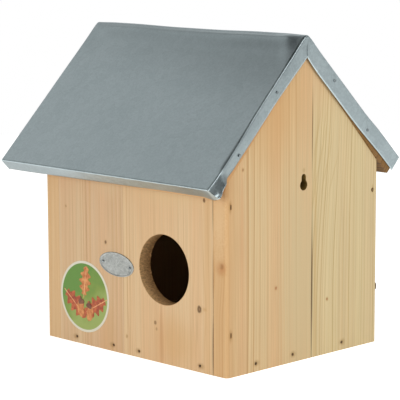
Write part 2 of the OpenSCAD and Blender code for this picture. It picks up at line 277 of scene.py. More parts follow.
# Pine: sawn, planed and left raw. Pale early wood with thin tan late wood lines, few small knots.
# grain, in mm and degrees: the turn that puts it along Z, the tree's centre across and into the board (far
# off to a side gives straight even lines), a growth ring's width, the slope. tones: early, late, warm wood.
# knots: across, along, radius, colour, how dark the middle is. swerves bend the grain: across, along, wide,
# high, push. marks are soft streaks and stains, a few of them painted light where noted: across, along,
# wide, high, colour, strength, slant. blobs lie on an edge: x, y, z, wide, deep, high, colour, strength,
# one of them painted light. ends is the colour of the sawn ends.
upright, sideways = (0, 0, 0), (0, 0, -90)  # a front board's face lies in X and Z, a gable's in Y and Z
lying = (0, -90, 0)
boards = {
    "front_board_left": {
        "grain": (upright, (-420, 130), 4.6, (0.3, 0.25)), "tones": ("#dabc95", "#c9a478", "#d3ae86"),
        "knots": [(-101, 141, 1.1, "#b08c64", 0.8)],
        "marks": [(-127, 90, 9, 150, "#c9a26e", 0.55), (-69.3, 95, 0.7, 120, "#a98253", 0.5),
            (-84.5, 150, 0.5, 60, "#b58f64", 0.35), (-87.6, 6.3, 5.6, 3.6, "#a27f4f", 0.6)],
    },
    "front_board_middle": {
        "grain": (upright, (-330, 150), 5.4, (0.4, -0.35)), "tones": ("#d8b892", "#cba679", "#d6b088"),
        "knots": [(-40.6, 111, 1.5, "#7f6244", 1)],
        "swerves": [(-35, 112, 14, 90, 5)],
        # its first mark, a pale band just under the eave, is painted light against the eave's shade and warm
        # bounce
        "marks": [(-36, 178, 30, 26, "#dac49c", 0.5), (-36.4, 145, 0.6, 34, "#ab8459", 0.5),
            (-35.6, 96, 0.6, 9, "#7f6548", 0.5), (-38, 12, 14, 50, "#cfa06a", 0.35),
            (-31.7, 6.5, 5.4, 3.6, "#a27f4f", 0.6)],
    },
    "front_board_entrance": {
        "grain": (upright, (-300, 90), 4.2, (0.3, 0.3)), "tones": ("#debf95", "#d2ae82", "#dbb589"),
        "knots": [(-10, 19, 1.4, "#b99468", 0.7), (31.4, 39.4, 1.7, "#8d6d48", 0.85),
            (33.2, 33.4, 1.2, "#b08b60", 0.8), (93.2, 62.2, 2.7, "#5f4326", 0.72),
            (100.2, 168.9, 1.6, "#745230", 0.95)],
        "swerves": [(93.2, 62.2, 12, 50, 5)],
        # its first mark, a pale band just under the eave, is painted light against the eave's shade and warm
        # bounce
        "marks": [(52, 178, 74, 26, "#dcc496", 0.5), (40, 24, 4.6, 46, "#bd8a5e", 0.55),
            (-14.3, 95, 0.6, 120, "#ae875a", 0.5), (-8.8, 70, 0.7, 130, "#c49c6c", 0.5),
            (-5.2, 40, 1.1, 110, "#be9564", 0.5), (-11, 80, 2, 200, "#e2c79a", 0.4),
            (100.5, 63, 4, 2.6, "#c0915c", 0.5), (90, 40, 0.8, 22, "#b28a5c", 0.45),
            (111.8, 162, 1, 34, "#6b4f30", 0.7), (111.8, 96, 0.9, 40, "#80603a", 0.7),
            (111.8, 25, 1.2, 36, "#5a4026", 0.9), (6.2, 6.6, 5.4, 3.6, "#a27f4f", 0.6),
            (95.2, 6.4, 6.2, 3.8, "#a27f4f", 0.6), (104, 100, 7, 300, "#d2a56e", 0.4),
            (60, 24, 34, 34, "#cd9f66", 0.45)],
        "bore": (44, 94, 35),  # across, along and radius of the entrance
    },
    "gable_right_front_board": {
        "grain": (sideways, (-420, 60), 3.4, (0.2, 0.2)), "tones": ("#ddc295", "#c59c6a", "#dbb587"),
        "knots": [(-40.8, 78.2, 1.3, "#b47c50", 1), (-86.9, 198.7, 1.1, "#a97c50", 0.9),
            (-125, 107, 3.4, "#b7844f", 0.5)],
        "swerves": [(-118, 105, 12, 36, 5)],
        "marks": [(-112, 120, 24, 400, "#cf9f6a", 0.6), (-44, 262, 62, 90, "#d2a26a", 0.6),
            (-110, 160, 3, 60, "#c58f56", 0.5), (-119, 99, 8, 6, "#bd8b55", 0.55),
            (-114.5, 104, 3.5, 5, "#b07c48", 0.5), (-88, 130, 2.4, 170, "#d3a374", 0.5),
            (-6, 70, 34, 200, "#d3be93", 0.75), (10.6, 70, 1, 110, "#5f4526", 0.8),
            (10.7, 230, 0.7, 60, "#7f6038", 0.7), (-1.2, 189.5, 2.4, 3.4, "#b08f5c", 0.5),
            (-68.2, 8.2, 5.6, 4.4, "#ab8a58", 0.6), (-15.9, 8.2, 5.6, 4.4, "#ab8a58", 0.6),
            (-103.8, 165, 2.8, 8, "#ab7f46", 0.7), (-103.8, 41, 2.8, 8, "#ab7f46", 0.7)],
        # the last blob, pale and high on the front strip, is painted light that brightens the strip's upper
        # part
        "blobs": [(122.5, -109, 106, 9, 3, 10, "#bd8450", 0.75),
            (123.4, -109, 108, 3.4, 2, 4, "#95602f", 0.8), (111.9, -109, 60, 1, 2, 70, "#6a4c2c", 0.7),
            (111.9, -109, 165, 1, 2, 40, "#8a6842", 0.5), (120, -109, 158, 14, 3, 62, "#e3c294", 0.7)],
        "pocket": (-1.2, 175, 5.6, 22),  # across, along, radius of the keyhole, and how far its slot reaches
    },
    "gable_right_rear_board": {
        "grain": (sideways, (-330, 70), 3.8, (0.2, -0.15)), "tones": ("#ddc99c", "#bfa069", "#d8c094"),
        "knots": [(34.1, 56.1, 1.2, "#b07f52", 0.9)],
        "swerves": [(-20, 330, 70, 200, 45)],
        "marks": [(11.3, 70, 1.3, 110, "#5f4526", 0.9), (11.2, 230, 0.9, 60, "#7f6038", 0.8),
            (16, 90, 2.4, 160, "#c9a56a", 0.5), (24.2, 203.2, 1.3, 40, "#c4a570", 0.5, 15.3),
            (18.2, 223.2, 1.3, 34, "#c2a26c", 0.5, 12.1), (32.1, 190.3, 1.3, 38, "#c6a873", 0.45, 16.5),
            (42.6, 182, 1.2, 32, "#c8aa76", 0.4, 20), (14.2, 165, 1.2, 24, "#c2a26c", 0.5, 8.8),
            (28, 228, 0.8, 30, "#c2a26c", 0.5, 12), (57.4, 8.2, 5.6, 4.4, "#ab8a58", 0.6),
            (103, 160, 2.4, 5.4, "#b79a62", 0.6), (18, 290, 50, 60, "#d9b285", 0.6)],
    },
    "gable_left_front_board": {
        "grain": (sideways, (-380, -60), 3.6, (0.3, 0.3)), "tones": ("#dcc096", "#cda97c", "#dab388"),
        "knots": [(-28, 62, 2, "#8f6a3c", 0.6), (-70, 142, 1.4, "#a57c4a", 0.9)],
        "swerves": [(-28, 62, 14, 50, 5)],
        "marks": [(-100, 150, 20, 400, "#d6a670", 0.5)],
    },
    "gable_left_rear_board": {
        "grain": (sideways, (360, -70), 4, (0.4, 0.2)), "tones": ("#dac197", "#c9a87a", "#d8b48a"),
        "knots": [(60, 118, 2.6, "#7a5530", 0.6)],
        "swerves": [(60, 118, 16, 60, 6)],
    },
    "clean_out_door": {
        "grain": (upright, (24, -95), 3.6, (0.8, 0.3)), "tones": ("#dcc097", "#cba67a", "#d8b086"),
        "knots": [(-52, 128, 2.8, "#7a5530", 0.5), (38, 52, 2, "#8f6a3c", 0.8),
            (74, 150, 1.4, "#a57c4a", 1)],
        "swerves": [(-52, 128, 16, 60, 6)],
    },
    "floor_board": {
        "grain": (lying, (40, 10), 3.6, (1, 1)), "tones": ("#d5b78e", "#c29d70", "#cfa87c"),
    },
    "roof_board_front": {
        "grain": (lying, (-150, -150), 3.8, (1, 1)), "tones": ("#dcb283", "#c89a66", "#d3a574"),
        "ends": "#c8935c",
    },
    # the rear roof board's tones and ends are painted shade: the same pine as the front one, darkened as its
    # underside shows in shade under the rear lip
    "roof_board_rear": {
        "grain": (lying, (-150, 160), 3.8, (1.2, 0.6)), "tones": ("#98764a", "#5f4324", "#86602f"),
        "ends": "#7c582a",
    },
}


endless = 1e6  # knots and marks run right through a board


def growthRings(add, board, look):
    # late wood, from 0 to 1. The grain flows round each knot and swerve, so the rings are read a little
    # nearer to its middle
    _, pith, ring, lean = look["grain"]
    rings = board
    flows = [(x, z, r * 3, r * 9, r * 2) for x, z, r, *_ in look["knots"]] + look["swerves"]
    for across, along, wide, high, push in flows:
        far, at = distance(add, board, (across, 0, along), (wide, endless, high))
        pull = add("MapRange SMOOTHSTEP", far, 0, 1.6, push, 0)
        shift = add("VectorMath SCALE", at, {"Scale": pull})
        shift = add("VectorMath MULTIPLY", shift, (1, 0, 0))
        rings = add("VectorMath SUBTRACT", rings, shift)

    wander = add("VectorMath MULTIPLY", board, (1 / 60, 1 / 60, 1 / 320))
    wander = add("TexNoise", wander, {"Scale": 1, "Detail": 2})["Color"]
    wander = add("VectorMath SUBTRACT", wander, (0.5, 0.5, 0.5))
    wander = add("VectorMath MULTIPLY", wander, (6, 6, 0))
    rings = add("Mapping", rings, {"Rotation": [radians(a) for a in lean] + [0],
                                   "Location": (-pith[0], -pith[1], 0)})
    rings = add("VectorMath ADD", rings, wander)
    rings = add("VectorMath MULTIPLY", rings, (1, 1, 0))
    depth = add("VectorMath LENGTH", rings)
    years = add("TexNoise", {"W": depth, "Scale": 0.05, "Detail": 2}, noise_dimensions="1D")[0]
    years = add("Math MULTIPLY_ADD", years, ring * 4, depth)
    years = add("Math DIVIDE", years, ring)
    season = add("Math FRACT", years)
    late = add("ValToRGB", season, stops=[
        (0, 0.1), (0.25, 0), (0.6, 0.3), (0.84, 1), (0.94, 0.9), (1, 0.1)])[0]
    # some years' lines are darker than others
    yearTone = add("Math FLOOR", years)
    yearTone = add("TexWhiteNoise", {"W": yearTone}, noise_dimensions="1D")[0]
    yearTone = add("MapRange", yearTone, {3: 0.2, 4: 1.2})
    return add("Math MULTIPLY", late, yearTone)


def stainsAndPaintedLight(add, place, board, look, colour, fibres):
    # lays streaks and stains, with a few painted light patches among them, knots, and blobs along the edges
    # over the wood, all with ragged edges
    for across, along, wide, high, tone, strength, *slant in look["marks"]:
        slant = (0, radians(sum(slant)), 0)
        far, _ = distance(add, board, (across, 0, along), (wide, endless, high), slant)
        ragged = add("Math MULTIPLY_ADD", fibres, 0.9, far)
        cover = add("MapRange SMOOTHSTEP", ragged, 0.6, 1.6, strength, 0)
        colour = add("MixRGB", cover, colour, tone)

    # knots: dark bark round a middle that is as dark or paler, with a warm halo
    crumble = add("TexNoise", board, {"Scale": 0.5, "Detail": 3})[0]
    for across, along, radius, tone, core in look["knots"]:
        far, _ = distance(add, board, (across, 0, along), (radius, endless, radius * 1.2))
        far = add("Math MULTIPLY_ADD", crumble, 0.8, far)
        halo = add("MapRange SMOOTHSTEP", far, 1, 3, 0.5, 0)
        colour = add("MixRGB", halo, colour, look["tones"][1])
        bark = add("MapRange", far, 0, 2)
        bark = add("ValToRGB", bark, stops=[
            (0.2, core * 0.85), (0.34, core), (0.5, 0.9), (0.64, 0.7), (0.85, 0)])[0]
        colour = add("MixRGB", bark, colour, tone)

    for x, y, z, wide, deep, high, tone, strength in look["blobs"]:
        far, _ = distance(add, place["Object"], Vector((x, y, z)) * mm, Vector((wide, deep, high)) * mm)
        ragged = add("Math MULTIPLY_ADD", crumble, 0.8, far)
        cover = add("MapRange SMOOTHSTEP", ragged, 0.6, 1.5, strength, 0)
        colour = add("MixRGB", cover, colour, tone)
    return colour


def fromAxis(add, board, across, along):
    # how far from a hole's axis, and how deep along it
    at = add("VectorMath SUBTRACT", board, (across, 0, along))
    flat = add("VectorMath MULTIPLY", at, (1, 0, 1))
    return add("VectorMath LENGTH", flat), add("SeparateXYZ", at)[1]


def sawnHole(add, board, hole, colour, height):
    # the hole saw leaves a hairy wall, and painted shade turns it browner towards the inside
    across, along, radius = hole
    far, inward = fromAxis(add, board, across, along)
    hairs = add("VectorMath MULTIPLY", board, (0.9, 0.35, 0.9))
    hairs = add("TexNoise", hairs, {"Scale": 1, "Detail": 4, "Roughness": 0.7})[0]
    # painted shade: the bore's wall darkens with depth
    inner = add("MapRange", inward, walls["front"], walls["front"] + walls["boardFront"])
    sawn = add("MixRGB", inner, "#d6ad7a", "#a87f52")
    rag = add("MapRange", hairs, 0.3, 0.7, 0.45, 1.35)
    sawn = add("MixRGB MULTIPLY", 1, sawn, rag)
    bored = add("MapRange", far, radius + 0.1, radius + 0.5, 1, 0)
    deep = add("Math MULTIPLY", hairs, 3)
    return add("MixRGB", bored, colour, sawn), add("MixRGB", bored, height, deep)


def shadedKeyhole(add, board, hole, colour):
    # painted shade in the drilled keyhole: its recess is painted olive brown, darkest in the round part
    across, along, radius, reach = hole
    far, inward = fromAxis(add, board, across, along)
    recessShade = add("MapRange", far, radius - 1, radius + 1.5)
    recessShade = add("MixRGB", recessShade, "#5f4a20", "#8f7238")
    skinDepth = 0.4  # the face itself keeps its colour
    sunk = add("Math LESS_THAN", add("Math ABSOLUTE", inward), walls["halfWidth"] - skinDepth)
    near = add("Math LESS_THAN", far, reach)
    sunk = add("Math MULTIPLY", sunk, near)
    return add("MixRGB", sunk, colour, recessShade)


def pineMaterial(name, look):
    look = {"knots": [], "swerves": [], "marks": [], "blobs": [], "ends": "#a67a48", **look}
    material, add = newMaterial("raw planed pine " + name.replace("_", " "))
    place = add("TexCoord")
    turn = [radians(a) for a in look["grain"][0]]
    board = add("Mapping", place["Object"], {"Rotation": turn, "Scale": (1000,) * 3})
    late = growthRings(add, board, look)

    # soft bands of warmer wood, tens of mm wide, and fibres about 1 mm wide, the finest that show
    bands = add("VectorMath MULTIPLY", board, (1 / 17, 1 / 40, 1 / 600))
    bands = add("TexNoise", bands, {"Scale": 1, "Detail": 3})[0]
    bands = add("MapRange SMOOTHSTEP", bands, 0.4, 0.64, 0, 0.7)
    fibres = add("VectorMath MULTIPLY", board, (1 / 1.2, 1 / 1.2, 1 / 90))
    fibres = add("TexNoise", fibres, {"Scale": 1, "Detail": 4, "Roughness": 0.6})[0]

    paleTone, lateTone, warmTone = look["tones"]
    colour = add("MixRGB", late, paleTone, lateTone)
    colour = add("MixRGB", bands, colour, warmTone)
    shade = add("MapRange", fibres, 0.3, 0.7, 0.915, 1.065)
    colour = add("MixRGB MULTIPLY", 1, colour, shade)
    colour = stainsAndPaintedLight(add, place, board, look, colour, fibres)

    # sawn ends drink more light than the face
    normal = add("VectorRotate", place["Normal"], {"Rotation": turn}, rotation_type="EULER_XYZ")
    endways = add("Math ABSOLUTE", add("SeparateXYZ", normal)[2])
    endways = add("MapRange", endways, 0.75, 0.98, 0, 0.45)
    colour = add("MixRGB", endways, colour, look["ends"])
    height = add("Math MULTIPLY_ADD", late, 0.6, fibres)
    if "bore" in look:
        colour, height = sawnHole(add, board, look["bore"], colour, height)
    if "pocket" in look:
        # painted shade in the keyhole's recess
        colour = shadedKeyhole(add, board, look["pocket"], colour)

    # painted shade: inside the box the wood is painted darker, for the dim closed inside
    inside = 0.55
    for part, face in zip(add("SeparateXYZ", millimetres(add)), walls["inner"]):
        within = add("Math LESS_THAN", add("Math ABSOLUTE", part), face)
        inside = add("Math MULTIPLY", within, inside)
    colour = add("MixRGB", inside, colour, "#7a5a38")

    sheen = add("MapRange", late, {3: 0.62, 4: 0.52})  # late wood is denser and a little shinier
    surface(add, colour, sheen, (0.25, 0.25, height), specular=0.3)
    return material


# radius of the boards' edges and of the house's upright corners, in mm
edgeRound = {"front": 0.2, "gable": 0.35, "clean": 0.6, "floor": 0.4, "roof": 0.5}
arrisRound = {"front_board_left": 1.6, "gable_right_front_board": 4, "gable_left_rear_board": 1,
              "gable_right_rear_board": 0.8}


def dressBoards():
    for name, look in boards.items():
        board = nodes[name]
        board.data.materials.clear()
        board.data.materials.append(pineMaterial(name, look))
        kind = name.split("_")[0]
        modifier(board, "WELD", merge_threshold=0.00001)
        modifier(board, "DECIMATE", decimate_type="DISSOLVE", angle_limit=radians(1))
        corners = [v.index for v in board.data.vertices
                   if abs(abs(v.co.x) - walls["halfWidth"] * mm) < 1e-5
                   and abs(abs(v.co.y) + walls["front"] * mm) < 1e-5]
        if name in arrisRound:
            arris = board.vertex_groups.new(name="arris")
            arris.add(corners, 1, "REPLACE")
            modifier(board, "BEVEL", width=arrisRound[name] * mm, segments=5, limit_method="VGROUP",
                     vertex_group="arris", use_clamp_overlap=False)
        modifier(board, "BEVEL", width=edgeRound[kind] * mm, segments=2, limit_method="ANGLE",
                 angle_limit=radians(35), use_clamp_overlap=False)
        board.data.shade_smooth()
        modifier(board, "TRIANGULATE", min_vertices=5)
        modifier(board, "WEIGHTED_NORMAL", weight=100, keep_sharp=False)


burr = {"reach": 1.2, "count": 150}  # the fibres torn round the hole: length in mm, points round it


def makeBurr(look, bore, material):
    # a ragged fringe, thin and closed
    across, along, radius = bore
    radius += 0.3  # its root is sunk in the board
    face = walls["front"] + walls["boardFront"]
    mesh = bmesh.new()
    rings = [[] for _ in range(4)]
    for u, v in around(look["count"]):
        torn = 0.5 + 0.5 * noise.noise(Vector((u * 9, v * 9, 1.7)))
        torn += 0.7 * noise.noise(Vector((u * 26, v * 26, 5)))
        torn = look["reach"] * min(max(torn - 0.2, 0.1), 1)
        for ring, (reach, depth) in zip(rings, ((0.3, -1), (torn, -0.35), (torn, -0.1), (0.3, 0.25))):
            r = radius - reach
            ring.append(mesh.verts.new(Vector((across + r * u, face + depth, along + r * v)) * mm))
    bridge(mesh, rings + rings[:1])
    meshObject("hole_torn_fibres", mesh, material)


dressBoards()
makeBurr(burr, boards["front_board_entrance"]["bore"], nodes["front_board_entrance"].data.materials[0])
print("boards dressed:", len(boards))


# Zinc-coated steel: rolled and dipped, so a fine grey mottle under a soft, slightly blue sheen
def zincMaterial(name, look):
    material, add = newMaterial(name)
    place = millimetres(add)
    cloud = add("TexNoise", place, {"Scale": 1 / look["cloud"], "Detail": 2})[0]
    mottle = add("TexNoise", place, {"Scale": 1 / look["mottle"], "Detail": 3, "Roughness": 0.65})[0]
    spangle = add("TexVoronoi", place, {"Scale": 1 / look["spangle"]})["Color"]
    spangle = add("SeparateColor", spangle)[0]
    mixed = add("Math MULTIPLY_ADD", mottle, 0.55, add("Math MULTIPLY", cloud, 0.3))
    mixed = add("Math MULTIPLY_ADD", spangle, 0.12, mixed)
    colour = add("ValToRGB", mixed, stops=[(0.3, look["dark"]), (0.66, look["light"])])[0]
    # painted reflection and shade darken the sheet where the look asks for it
    if "paintedReflection" in look:
        colour = add("MixRGB MULTIPLY", 1, colour, paintedReflection(add, place, look["paintedReflection"]))
    rough = add("MapRange", mixed, 0.3, 0.66, *look["rough"])
    surface(add, colour, rough, (look["bump"], 0.2, mottle), metal=1)
    return material


def paintedReflection(add, place, look):
    # painted reflection and shade: the sheet is painted darker towards the peak of its front slope, along its
    # front lips and down its rear lip, standing in for the dark room and the wall that it mirrors there
    x, y, z = add("SeparateXYZ", place)
    up = add("Math MULTIPLY_ADD", x, look["slant"], z)
    slope = add("MapRange SMOOTHSTEP", up, *look["rise"], 1, look["peak"])
    width = add("MapRange", x, *look["width"])
    eave = add("ValToRGB", width, stops=look["eave"])[0]
    sunk = add("Math SUBTRACT", z, y)  # constant on the slope, less on the lip
    sunk = add("MapRange", sunk, *look["sunk"])
    slope = add("MixRGB", sunk, slope, eave)
    rear = add("MapRange SMOOTHSTEP", y, -14, 0)
    tone = add("MixRGB", rear, slope, "#ffffff")
    lips = add("MapRange SMOOTHSTEP", x, *look["lips"])
    rearLip = add("MapRange", y, 40, 190, *look["rear"])
    tone = add("MixRGB", lips, tone, rearLip)
    length = add("MapRange", y, look["front"], 0)
    rake = add("ValToRGB", length, stops=look["rake"])[0]
    near = add("Math LESS_THAN", y, 0)
    near = add("Math MULTIPLY", lips, near)
    return add("MixRGB", near, tone, rake)


# Roof sheet: one piece bent over the ridge, with a lip folded down all round. Lengths in mm,
# s runs down a slope from where its planes meet, h runs into the roof from the outer face.
roof = {
    "pitch": {-1: 45, 1: 43.7},  # front and rear slope, degrees
    "length": 194.5,
    "lip": 16,
    "lipNarrow": 13.4,  # where the front right lip was folded narrower, down its middle
    "eaveLip": 15.2,
    "ridgeRadius": 4,
    "ridgeTop": 321.13,
    "gauge": 0.7,
    "fold": (2.2, 0.7, 54),  # outer radius of the folds: first, then tighter past so many degrees
    "swell": (0.22, 62, 55),  # height of the hammer-soft waves in the slopes, and their lengths
    "shoulder": 1.9,  # how far the sheet stands off just below the ridge
    "ridgeLift": 0.9,  # how far the ridge bows up beside its middle
    "crease": (1.6, 116, 7, 0.59, 0.81),  # height, start and direction of the crease beside the peak
    "rearGap": 1.6,  # how far the rear right corner stands off its board
    "weld": 0.3,  # height of the soldered mitre under the peak
    "bow": (-0.3, 2.5, -1.2),  # how far the front right fold runs in near the top, out and back again
    "lipWaves": {"eave": (0.35, 45), "rake": (0.3, 40)},  # height and length of the waves in the lips
    "flare": 0.8,  # how much wider the front right lip is at its corner
    "nick": 1.6,  # how much narrower the front right lip is just before the corner
    "sag": 2.2,  # how much deeper the rear right lip is along its middle
    "lean": 22,  # degrees that the front right lip opens near the corner
    "curl": 36,  # degrees more that its lower half curls out at the corner
    "tuck": 8,  # degrees that the eave lips lean in at their right ends
}
# the brightnesses below are painted reflection and shade: "peak" at the peak, "eave" and "rake" along the
# front lips, "rear" along the rear one. The rest says where, in mm.
zinc = {
    "dark": "#a6b4b7", "light": "#c2d0d3", "rough": (0.3, 0.4), "bump": 0.42,
    "cloud": 60, "mottle": 2.2, "spangle": 7,
    "paintedReflection": {
        "peak": 0.745, "rise": (252, 325), "slant": 0.15,
        "eave": [(0, 0.62), (0.26, 0.64), (0.38, 0.79), (0.64, 0.86), (0.8, 0.81), (0.95, 0.72)],
        "width": (-171, 134), "sunk": (321.5, 319.5), "lips": (130.5, 132.5), "rear": (0.95, 0.76),
        "rake": [(0, 1), (0.105, 1), (0.145, 0.54), (0.22, 0.57), (0.31, 0.63), (0.4, 0.72), (0.48, 0.8),
                 (0.6, 0.88), (1, 0.95)], "front": -137.5,
    },
}


def slopePoint(pitch, peak, side, s, h):
    # (y, z) of a point s down a slope and h into it, from a peak's height
    p = radians(pitch)
    return side * (s * cos(p) - h * sin(p)), peak - s * sin(p) - h * cos(p)


def foldSection(first, second, change):
    # a fold's outer face from the slope to the lip: (out, deep) after each step of its turn
    angles = [0, 9, 18, 27, 36, 45, 54, 66, 78, 90]
    line = [(0, 0)]
    for a, b in zip(angles, angles[1:]):
        radius = first if b <= change else second
        a, b = radians(a), radians(b)
        out, deep = line[-1]
        line.append((out + radius * (sin(b) - sin(a)), deep + radius * (cos(a) - cos(b))))
    return line[1:]


def roofPlanes(look):
    # what follows from the sheet's sizes: its ends, the height where its planes meet, the ridge bend's centre
    low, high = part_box("roof_sheet")
    half = radians(sum(look["pitch"].values()) / 2)
    skew = radians(look["pitch"][1] - look["pitch"][-1]) / 2
    reach = look["ridgeRadius"] / cos(half)  # from the bend's centre up to where the planes meet
    planeZ = look["ridgeTop"] - look["ridgeRadius"] + reach * cos(skew)
    return {"x0": low.x / mm, "x1": high.x / mm, "half": half, "planeZ": planeZ,
            "centre": (-reach * sin(skew), planeZ - reach * cos(skew)),
            "foldLine": foldSection(*look["fold"])}


def onSlope(look, side, s, h):
    return slopePoint(look["pitch"][side], look["planeZ"], side, s, h)


def roofStations(look):
    # lines over the roof, up from the rear eave, over the bend and down: (side, s, bend angle or None)
    half, turns = look["half"], 10
    downs = [look["ridgeRadius"] * tan(half), 5, 6.5, 8, 10, 12, 14.5, 17, 20, 23, 26, 30, 34, 39, 45, 52, 60]
    downs += list(range(70, 161, 10)) + [166, 170, 173, 176, 179, 182, 184, 186, 188, 190]
    downs.append(look["length"] - look["foldLine"][-1][0])
    start = radians(90) - radians(look["pitch"][1])
    over = [(0, 0, start + i * 2 * half / turns) for i in range(1, turns)]
    return [(1, s, None) for s in reversed(downs)] + over + [(-1, s, None) for s in downs]


def bowed(look, side, s):
    # the front right fold wanders out of line
    if side >= 0:
        return 0
    inward, outward, back = look["bow"]
    return (inward * ease(6, 28, s) * (1 - ease(45, 105, s))
            + outward * ease(95, 160, s) + back * ease(178, look["length"], s))


def standOff(look, x, side, s):
    # how far the sheet's outer face stands off its plane
    x0, x1 = look["x0"], look["x1"]
    swell, sizeX, sizeS = look["swell"]
    wave = noise.noise(Vector((x / sizeX, s / sizeS * (side or 1), 3.1 + side)))
    off = swell * wave * ease(6, 40, s) * ease(0, 24, look["length"] - s)
    along = ease(x0, x1, x)
    ends = ease(0, 30, x1 - x) * ease(0, 30, x - x0)
    if side:
        shoulder = look["shoulder"] * (0.75 + 0.4 * along) * (0.15 + 0.85 * ends)
        off += shoulder * ease(3, 9, s) * (1 - ease(9, 30, s))
    lift = look["ridgeLift"] * ease(25, 95, abs(x + 20)) * (0.3 + 0.7 * ends)
    off += lift * (1 - ease(6, 24, s))
    if side < 0:
        # the corner beside the peak is dressed down along a crease
        high, startX, startS, alongX, alongS = look["crease"]
        across = (x - startX) * alongS - (s - startS) * alongX
        facet = high * min(max((x1 - x) / 17, 0), 1) * ease(70, startX, x)
        off += facet * ease(-15, 0, across) * ease(0, 6, s)
    if side > 0:
        off += look["rearGap"] * ease(118, 160, s) * ease(90, 10, x1 - x)
    return off


def lipDepth(look, end, side, s):
    lip = look["lip"]
    if end < 0 or side == 0:
        return lip
    if side > 0:
        return lip + look["sag"] * ease(0, 40, s) * (1 - ease(110, 180, s))
    return (lip - (lip - look["lipNarrow"]) * ease(10, 85, s) + look["flare"] * ease(184, 192, s)
            - look["nick"] * ease(160, 177, s) * (1 - ease(181, 190, s)))


def makeSlopes(mesh, look, stations):
    # both slopes with the bend between them: the rows of vertices, and their places across the roof
    x0, x1, bend, fold = look["x0"], look["x1"], look["ridgeRadius"], look["foldLine"][-1][0]
    columns = [0, 1, 2.5, 4.5, 7, 10, 13.5, 17, 21, 26]
    spanX = (x1 - fold) - (x0 + fold)
    steps = 26
    inside = columns + [26 + i * (spanX - 52) / steps for i in range(1, steps)]
    inside += [spanX - c for c in reversed(columns)]
    across = [x0 + fold + c for c in inside]
    grid = []
    for side, s, angle in stations:
        if angle is None:
            p = radians(look["pitch"][side])
            y, z = onSlope(look, side, s, 0)
            ny, nz = side * sin(p), cos(p)
        else:
            ny, nz = cos(angle), sin(angle)
            y, z = look["centre"][0] + bend * ny, look["centre"][1] + bend * nz
        row = []
        for x in across:
            off = standOff(look, x, side, s)
            shift = bowed(look, side, s) * ease(40, 0, x1 - fold - x)
            row.append(mesh.verts.new((x + shift, y + ny * off, z + nz * off)))
        grid.append(row)
    bridge(mesh, grid, closed=False)
    return grid, across


lipShares = (0.08, 0.2, 0.32, 0.44, 0.56, 0.68, 0.8, 0.9, 1)  # where a lip has vertices, below its fold


def makeEaveLip(mesh, look, side, row, across):
    # a rounded fold, then square to the slope
    x0, x1, lip = look["x0"], look["x1"], look["lip"]
    fold, foldDeep = look["foldLine"][-1]
    end = look["length"] - fold
    height, size = look["lipWaves"]["eave"]
    p = radians(look["pitch"][side])
    down, into = (side * cos(p), -sin(p)), (-side * sin(p), -cos(p))
    rows = [row]
    straight = [(fold, foldDeep + (look["eaveLip"] - foldDeep) * t) for t in lipShares]
    for out, deep in look["foldLine"] + straight:
        line = []
        for x, top in zip(across, row):
            wave = height * noise.noise(Vector((x / size, deep / 30, 9 * side)))
            lean = radians(look["tuck"]) * ease(x0, x1 - 20, x) * ease(1, 22, x1 - x)
            wave = wave * ease(0, lip, deep) - deep * tan(lean)
            y, z = onSlope(look, side, end, -standOff(look, x, side, end))
            line.append(mesh.verts.new((top.co.x, y + down[0] * (out + wave) + into[0] * deep,
                                        z + down[1] * (out + wave) + into[1] * deep)))
        rows.append(line)
    bridge(mesh, rows, closed=False)
    return [line[0] for line in rows], [line[-1] for line in rows]


def lipPath(look, end, side, s):
    # walks down a rake lip: (how far outward of its plane, how deep)
    fold, foldDeep = look["foldLine"][-1]
    deepest = lipDepth(look, end, side, s)
    bow = bowed(look, side, s) if end > 0 else 0
    near = ease(168, 180, s) if end > 0 and side < 0 else 0
    tuck = -asin(min(max(bow - 0.5 * near, -2), 8) / deepest) * (1 - near)
    opened = radians(look["lean"]) * ease(169, 181, s) if near else 0
    curled = radians(look["curl"]) * ease(187.5, 194, s) if near else 0
    path = [(out - fold, deep) for out, deep in look["foldLine"]]
    out, deep = path[-1]
    for t0, t1 in zip((0,) + lipShares, lipShares):
        middle = (t0 + t1) / 2 * (deepest - foldDeep)
        tilt = tuck + opened + curled * ease(5.5, 10.5, middle)
        step = (t1 - t0) * (deepest - foldDeep)
        out, deep = out + step * sin(tilt), deep + step * cos(tilt)
        path.append((out, deep))
    return [(out + bow, deep) for out, deep in path]


def makeRakeLip(mesh, look, end, column, stations):
    # the lip down one end, mitred under the peak
    bend, lip, centre = look["ridgeRadius"], look["lip"], look["centre"]
    height, size = look["lipWaves"]["rake"]
    faceX = look["x1"] if end > 0 else look["x0"]
    lines = []
    for side, s, angle in [(1, look["length"], None)] + stations + [(-1, look["length"], None)]:
        off = standOff(look, faceX, side, s)
        line = []
        for out, deep in lipPath(look, end, side, s):
            h = deep - off * (1 - deep / lip)
            y, z = 0, look["planeZ"] - deep / cos(look["half"])
            if angle is None:
                slope = onSlope(look, side, s, h)
                if side * slope[0] >= 0:
                    y, z = slope
            elif h < bend:
                y, z = centre[0] + (bend - h) * cos(angle), centre[1] + (bend - h) * sin(angle)
            x = faceX + end * out
            if y == 0:
                x += end * look["weld"] * ease(7.5, 9.5, deep)
            wave = height * noise.noise(Vector((s / size * side, deep / 30, end)))
            x += end * wave * ease(3, lip, deep)
            line.append(mesh.verts.new((x, y, z)))
        lines.append(line)
    rows = [list(row) for row in zip(*lines)]
    for a, b, c, d in zip(column, column[1:], rows[0][1:], rows[0][2:]):
        mesh.faces.new((a, b, d, c))
    bridge(mesh, rows, closed=False)
    return rows


